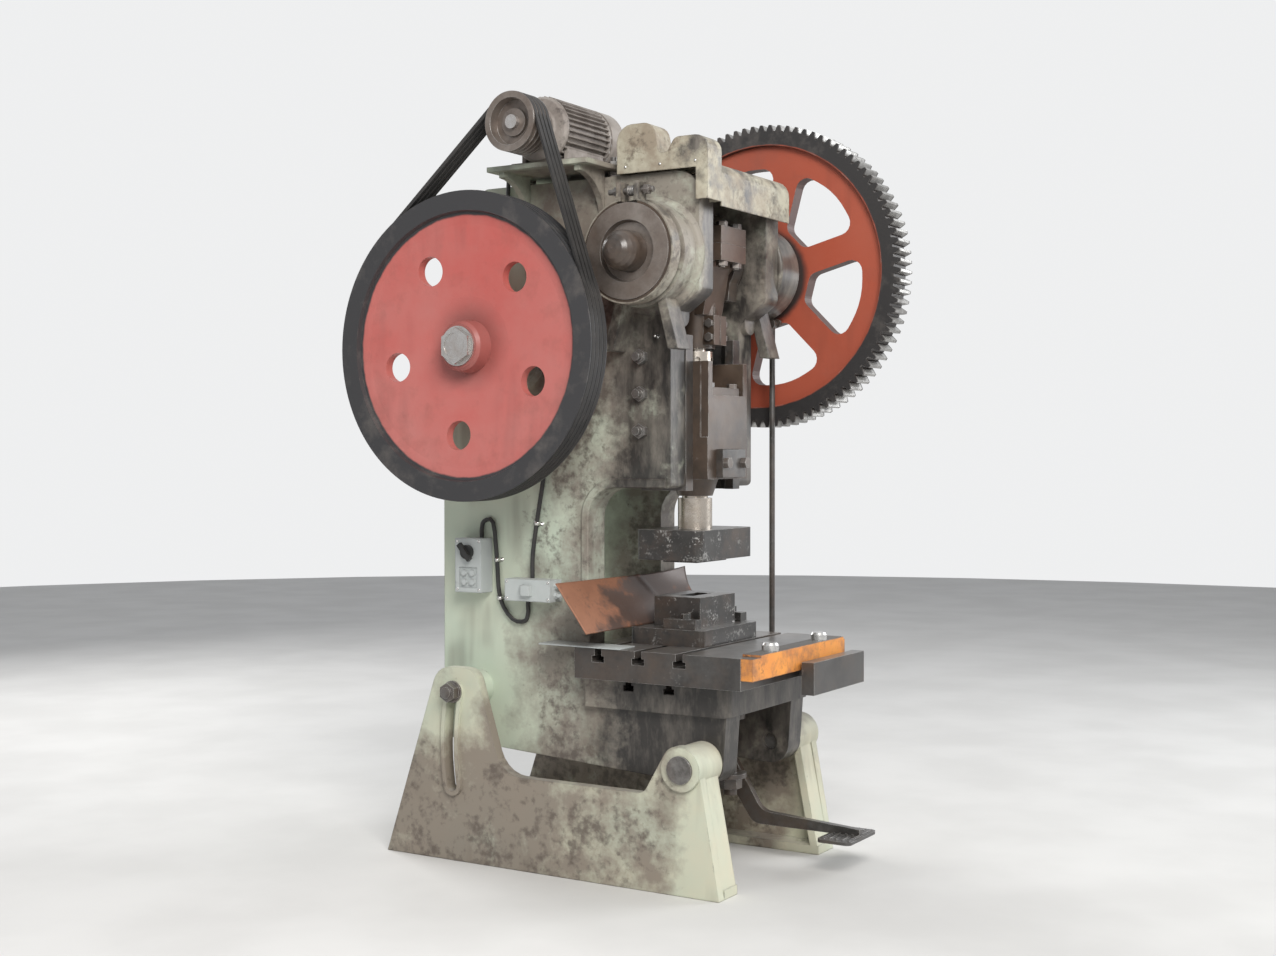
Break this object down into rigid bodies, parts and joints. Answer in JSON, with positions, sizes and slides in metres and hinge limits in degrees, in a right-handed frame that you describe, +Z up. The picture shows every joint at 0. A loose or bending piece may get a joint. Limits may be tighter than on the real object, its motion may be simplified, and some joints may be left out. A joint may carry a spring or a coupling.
{
  "type": "mechanical stamping press",
  "caption": "Open-back inclinable C-frame stamping press with belt-driven flywheel, open gear, crank, slide, band brake, foot pedal and a die set on its bolster.",
  "frame": {"origin": "centre of the foundation bolt pattern, on the floor", "axes": "+Z up, -Y is the front where the operator stands, -X is the flywheel side"},
  "size_m": [1.318, 1.7385, 2.7674],
  "materials": {
    "cream_paint": "worn paint over cast iron",
    "green_paint": "worn grey-green paint over cast iron",
    "dark_steel": "dark greasy steel",
    "bright_steel": "bright machined steel",
    "grease_iron": "dark iron under grease",
    "wheel_red": "red paint over cast iron",
    "bronze": "bearing bronze",
    "belt_rubber": "belt rubber",
    "lining": "woven friction lining",
    "motor_paint": "grey-brown paint over aluminium and iron",
    "sheet_paint": "cream painted sheet",
    "chute_steel": "rusty sheet steel",
    "orange_paint": "orange paint over steel",
    "box_grey": "grey painted box",
    "black_plastic": "black plastic",
    "cable": "cable sheath"
  },
  "bodies": {
    "base": {"base_casting": "cream_paint", "pivot_pins": "dark_steel"},
    "gear": {"bull_gear": "wheel_red", "gear_bush": "bronze"},
    "flywheel_shaft": {"flywheel": "wheel_red", "flywheel_nut": "bright_steel", "intermediate_shaft": "bright_steel", "pinion": "bright_steel"},
    "motor_rotor": {"motor_shaft": "bright_steel", "motor_pulley": "dark_steel"},
    "crank": {"crankshaft": "dark_steel", "brake_drum": "dark_steel", "crank_end_cap": "dark_steel"},
    "key": {"clutch_key": "bright_steel"},
    "rod": {"connecting_rod": "grease_iron", "rod_cap": "grease_iron", "rod_bolts": "dark_steel"},
    "screw": {"adjusting_screw": "bright_steel"},
    "ram": {"slide": "grease_iron", "ball_retainer": "dark_steel", "slide_bolts": "dark_steel", "shank_clamp": "grease_iron", "die_shank": "bright_steel", "upper_die": "grease_iron"},
    "latch": {"clutch_latch": "dark_steel"},
    "pedal_rod": {"pull_rod": "dark_steel"},
    "pedal": {"pedal_shaft": "dark_steel", "treadle": "grease_iron"},
    "main_switch": {"switch_lever": "black_plastic"},
    "frame": {"frame_casting": "green_paint", "slot_bolts": "dark_steel", "bolster_plate": "dark_steel", "left_gib": "dark_steel", "right_gib": "dark_steel", "gib_bolts": "dark_steel", "crank_bushes": "bronze", "brake_band": "green_paint", "brake_lining": "lining", "brake_bolt": "dark_steel", "shaft_bearings": "bright_steel", "bearing_covers": "green_paint", "v_belts": "belt_rubber", "motor_housing": "motor_paint", "motor_fan_cover": "motor_paint", "terminal_box": "motor_paint", "motor_plate": "green_paint", "motor_studs": "dark_steel", "lower_die_shoe": "grease_iron", "die_block": "grease_iron", "chute_sheet": "chute_steel", "front_bar": "orange_paint", "front_bar_bolts": "bright_steel", "stock_rest": "grease_iron", "cushion_rod": "dark_steel", "switch_box": "box_grey", "control_box": "box_grey", "cable_link": "cable", "cable_motor": "cable", "crank_guard": "sheet_paint", "loose_plate": "box_grey"}
  },
  "joints": [
    {"name": "frame_tilt", "type": "hinge", "parent": "base", "child": "frame", "pos_m": [0, -0.547, 0.429], "axis": [-1, 0, 0], "range_deg": [0, 20]},
    {"name": "gear_spin", "type": "hinge", "parent": "frame", "child": "gear", "pos_m": [0, -0.344, 2.18], "axis": [-1, 0, 0], "continuous": true},
    {"name": "flywheel_spin", "type": "hinge", "parent": "frame", "child": "flywheel_shaft", "pos_m": [0, 0.25153, 1.86867], "axis": [-1, 0, 0], "continuous": true},
    {"name": "motor_spin", "type": "hinge", "parent": "frame", "child": "motor_rotor", "pos_m": [0, 0.04, 2.635], "axis": [-1, 0, 0], "continuous": true},
    {"name": "crank_turn", "type": "hinge", "parent": "frame", "child": "crank", "pos_m": [0, -0.344, 2.18], "axis": [-1, 0, 0], "range_deg": [0, 180]},
    {"name": "rod_swing", "type": "hinge", "parent": "crank", "child": "rod", "pos_m": [0, -0.344, 2.24], "axis": [-1, 0, 0], "range_deg": [-180, 0]},
    {"name": "slide_travel", "type": "slide", "parent": "frame", "child": "ram", "axis": [0, 0, -1], "range_m": [0, 0.12]},
    {"name": "screw_turn", "type": "hinge", "parent": "rod", "child": "screw", "pos_m": [0, -0.344, 1.9], "axis": [0, 0, 1], "range_deg": [-180, 180]},
    {"name": "key_turn", "type": "hinge", "parent": "crank", "child": "key", "pos_m": [0, -0.344, 2.114], "axis": [-1, 0, 0], "range_deg": [0, 45]},
    {"name": "latch_turn", "type": "hinge", "parent": "frame", "child": "latch", "pos_m": [0, -0.3, 2.03], "axis": [1, 0, 0], "range_deg": [0, 8]},
    {"name": "pull_travel", "type": "slide", "parent": "frame", "child": "pedal_rod", "axis": [0, 0, -1], "range_m": [0, 0.01675]},
    {"name": "pedal_press", "type": "hinge", "parent": "frame", "child": "pedal", "pos_m": [0, -0.3, 0.5], "axis": [1, 0, 0], "range_deg": [0, 8], "stiffness_Nm_per_rad": 300, "springref_deg": -40.11},
    {"name": "switch_turn", "type": "hinge", "parent": "frame", "child": "main_switch", "pos_m": [0, 0.41, 1.128], "axis": [-1, 0, 0], "range_deg": [0, 90]}
  ],
  "couplings": [
    {"joint": "flywheel_spin", "follows": "gear_spin", "ratio": -6},
    {"joint": "motor_spin", "follows": "gear_spin", "ratio": -32.55},
    {"joint": "slide_travel", "follows": "crank_turn", "m_per_rad": 0.038197},
    {"joint": "rod_swing", "follows": "crank_turn", "ratio": -1},
    {"joint": "latch_turn", "follows": "pedal_press", "ratio": 1},
    {"joint": "pull_travel", "follows": "pedal_press", "m_per_rad": 0.12}
  ]
}
